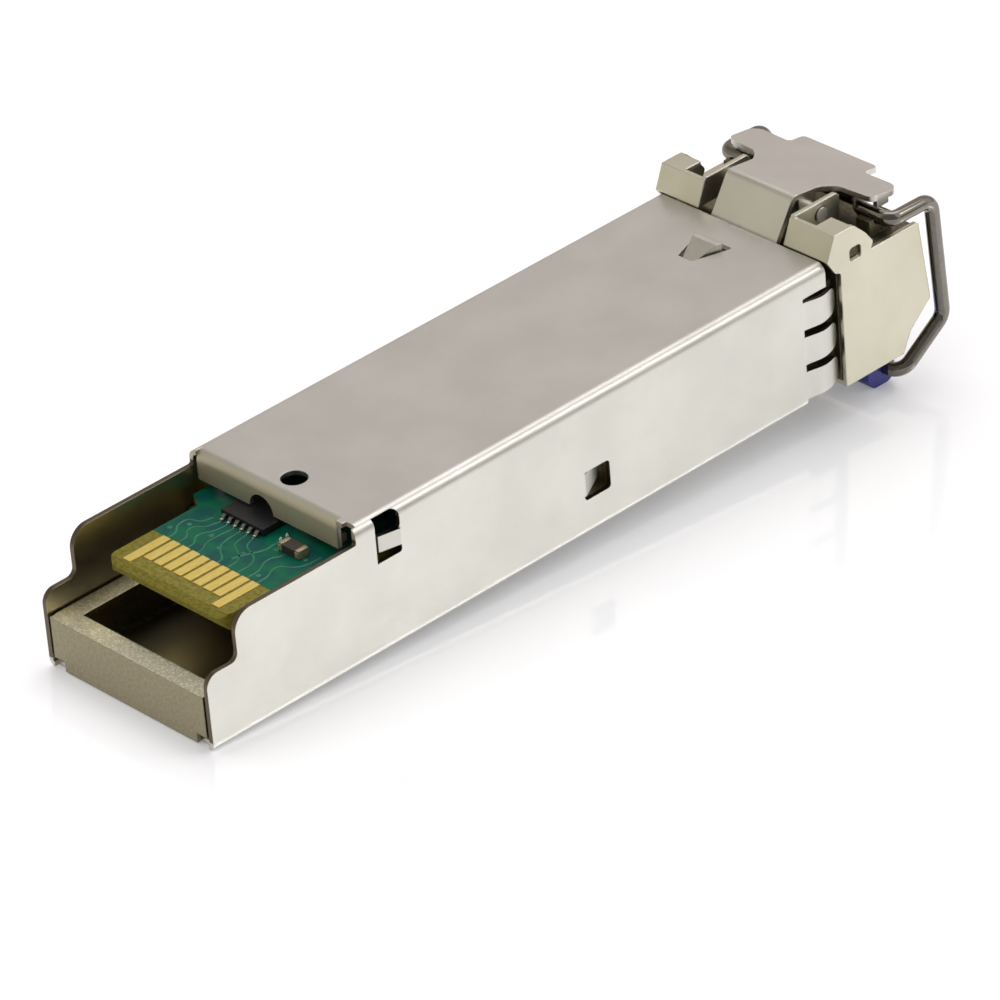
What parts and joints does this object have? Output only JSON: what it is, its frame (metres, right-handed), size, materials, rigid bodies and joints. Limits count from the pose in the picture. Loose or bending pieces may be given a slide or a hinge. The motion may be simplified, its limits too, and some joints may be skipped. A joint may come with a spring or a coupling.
{
  "type": "sfp transceiver",
  "caption": "Pluggable duplex optical transceiver in a stamped metal case, with gold card edge, latch rocker and swinging wire bail with a blue grip.",
  "frame": {"origin": "on the label face, midway across the module, below the shoulder of the latch boss", "axes": "+X across the module, +Y along it from the card edge to the nose, +Z from the label face up to the latch side"},
  "size_m": [0.014, 0.0573, 0.013],
  "materials": {
    "plated_sheet": "satin nickel plating",
    "plated_casting": "satin nickel plating on a casting",
    "bright_wire": "bright",
    "blue_plastic": "satin",
    "board": "solder mask, bare at the tongue",
    "gold": "gold plating",
    "chip_black": "matt",
    "solder": "tin plated",
    "capacitor_tan": "ceramic",
    "ceramic_white": "polished ceramic",
    "can_metal": "plated",
    "flex_amber": "film",
    "clamp_plastic": "matt",
    "label_white": "bare label",
    "spring_steel": "bare"
  },
  "bodies": {
    "module": {"outer_shell": "plated_sheet", "base_housing": "plated_casting", "label_plate": "plated_sheet", "label_sheet": "label_white", "circuit_board": "board", "latch_side_pads": "gold", "label_side_pads": "gold", "driver_chip": "chip_black", "chip_legs": "solder", "amplifier_chip": "chip_black", "memory_chip": "chip_black", "chip_capacitors": "capacitor_tan", "chip_resistors": "chip_black", "transmitter_can": "can_metal", "receiver_can": "can_metal", "transmitter_barrel": "plated_casting", "receiver_barrel": "plated_casting", "transmit_sleeve": "ceramic_white", "receive_sleeve": "ceramic_white", "transmit_stub": "ceramic_white", "receive_stub": "ceramic_white", "transmit_flex": "flex_amber", "receive_flex": "flex_amber", "optics_clamp": "clamp_plastic", "receptacle_body": "plated_casting", "nose_frame": "plated_sheet", "latch_spring": "spring_steel"},
    "rocker": {"latch_rocker": "plated_sheet"},
    "bail": {"bail_wire": "bright_wire", "bail_grip": "blue_plastic"}
  },
  "joints": [
    {"name": "bail_swing", "type": "hinge", "parent": "module", "child": "bail", "pos_m": [0, 0.008, 0.00885], "axis": [1, 0, 0], "range_deg": [0, 90]},
    {"name": "latch_rock", "type": "hinge", "parent": "module", "child": "rocker", "pos_m": [0, 0.0054, 0.0094], "axis": [1, 0, 0], "range_deg": [0, 6], "stiffness_Nm_per_rad": 0.002, "springref_deg": -2.86, "deforming": ["latch_spring"]}
  ],
  "couplings": [
    {"joint": "latch_rock", "follows": "bail_swing", "ratio": 0.0666}
  ]
}
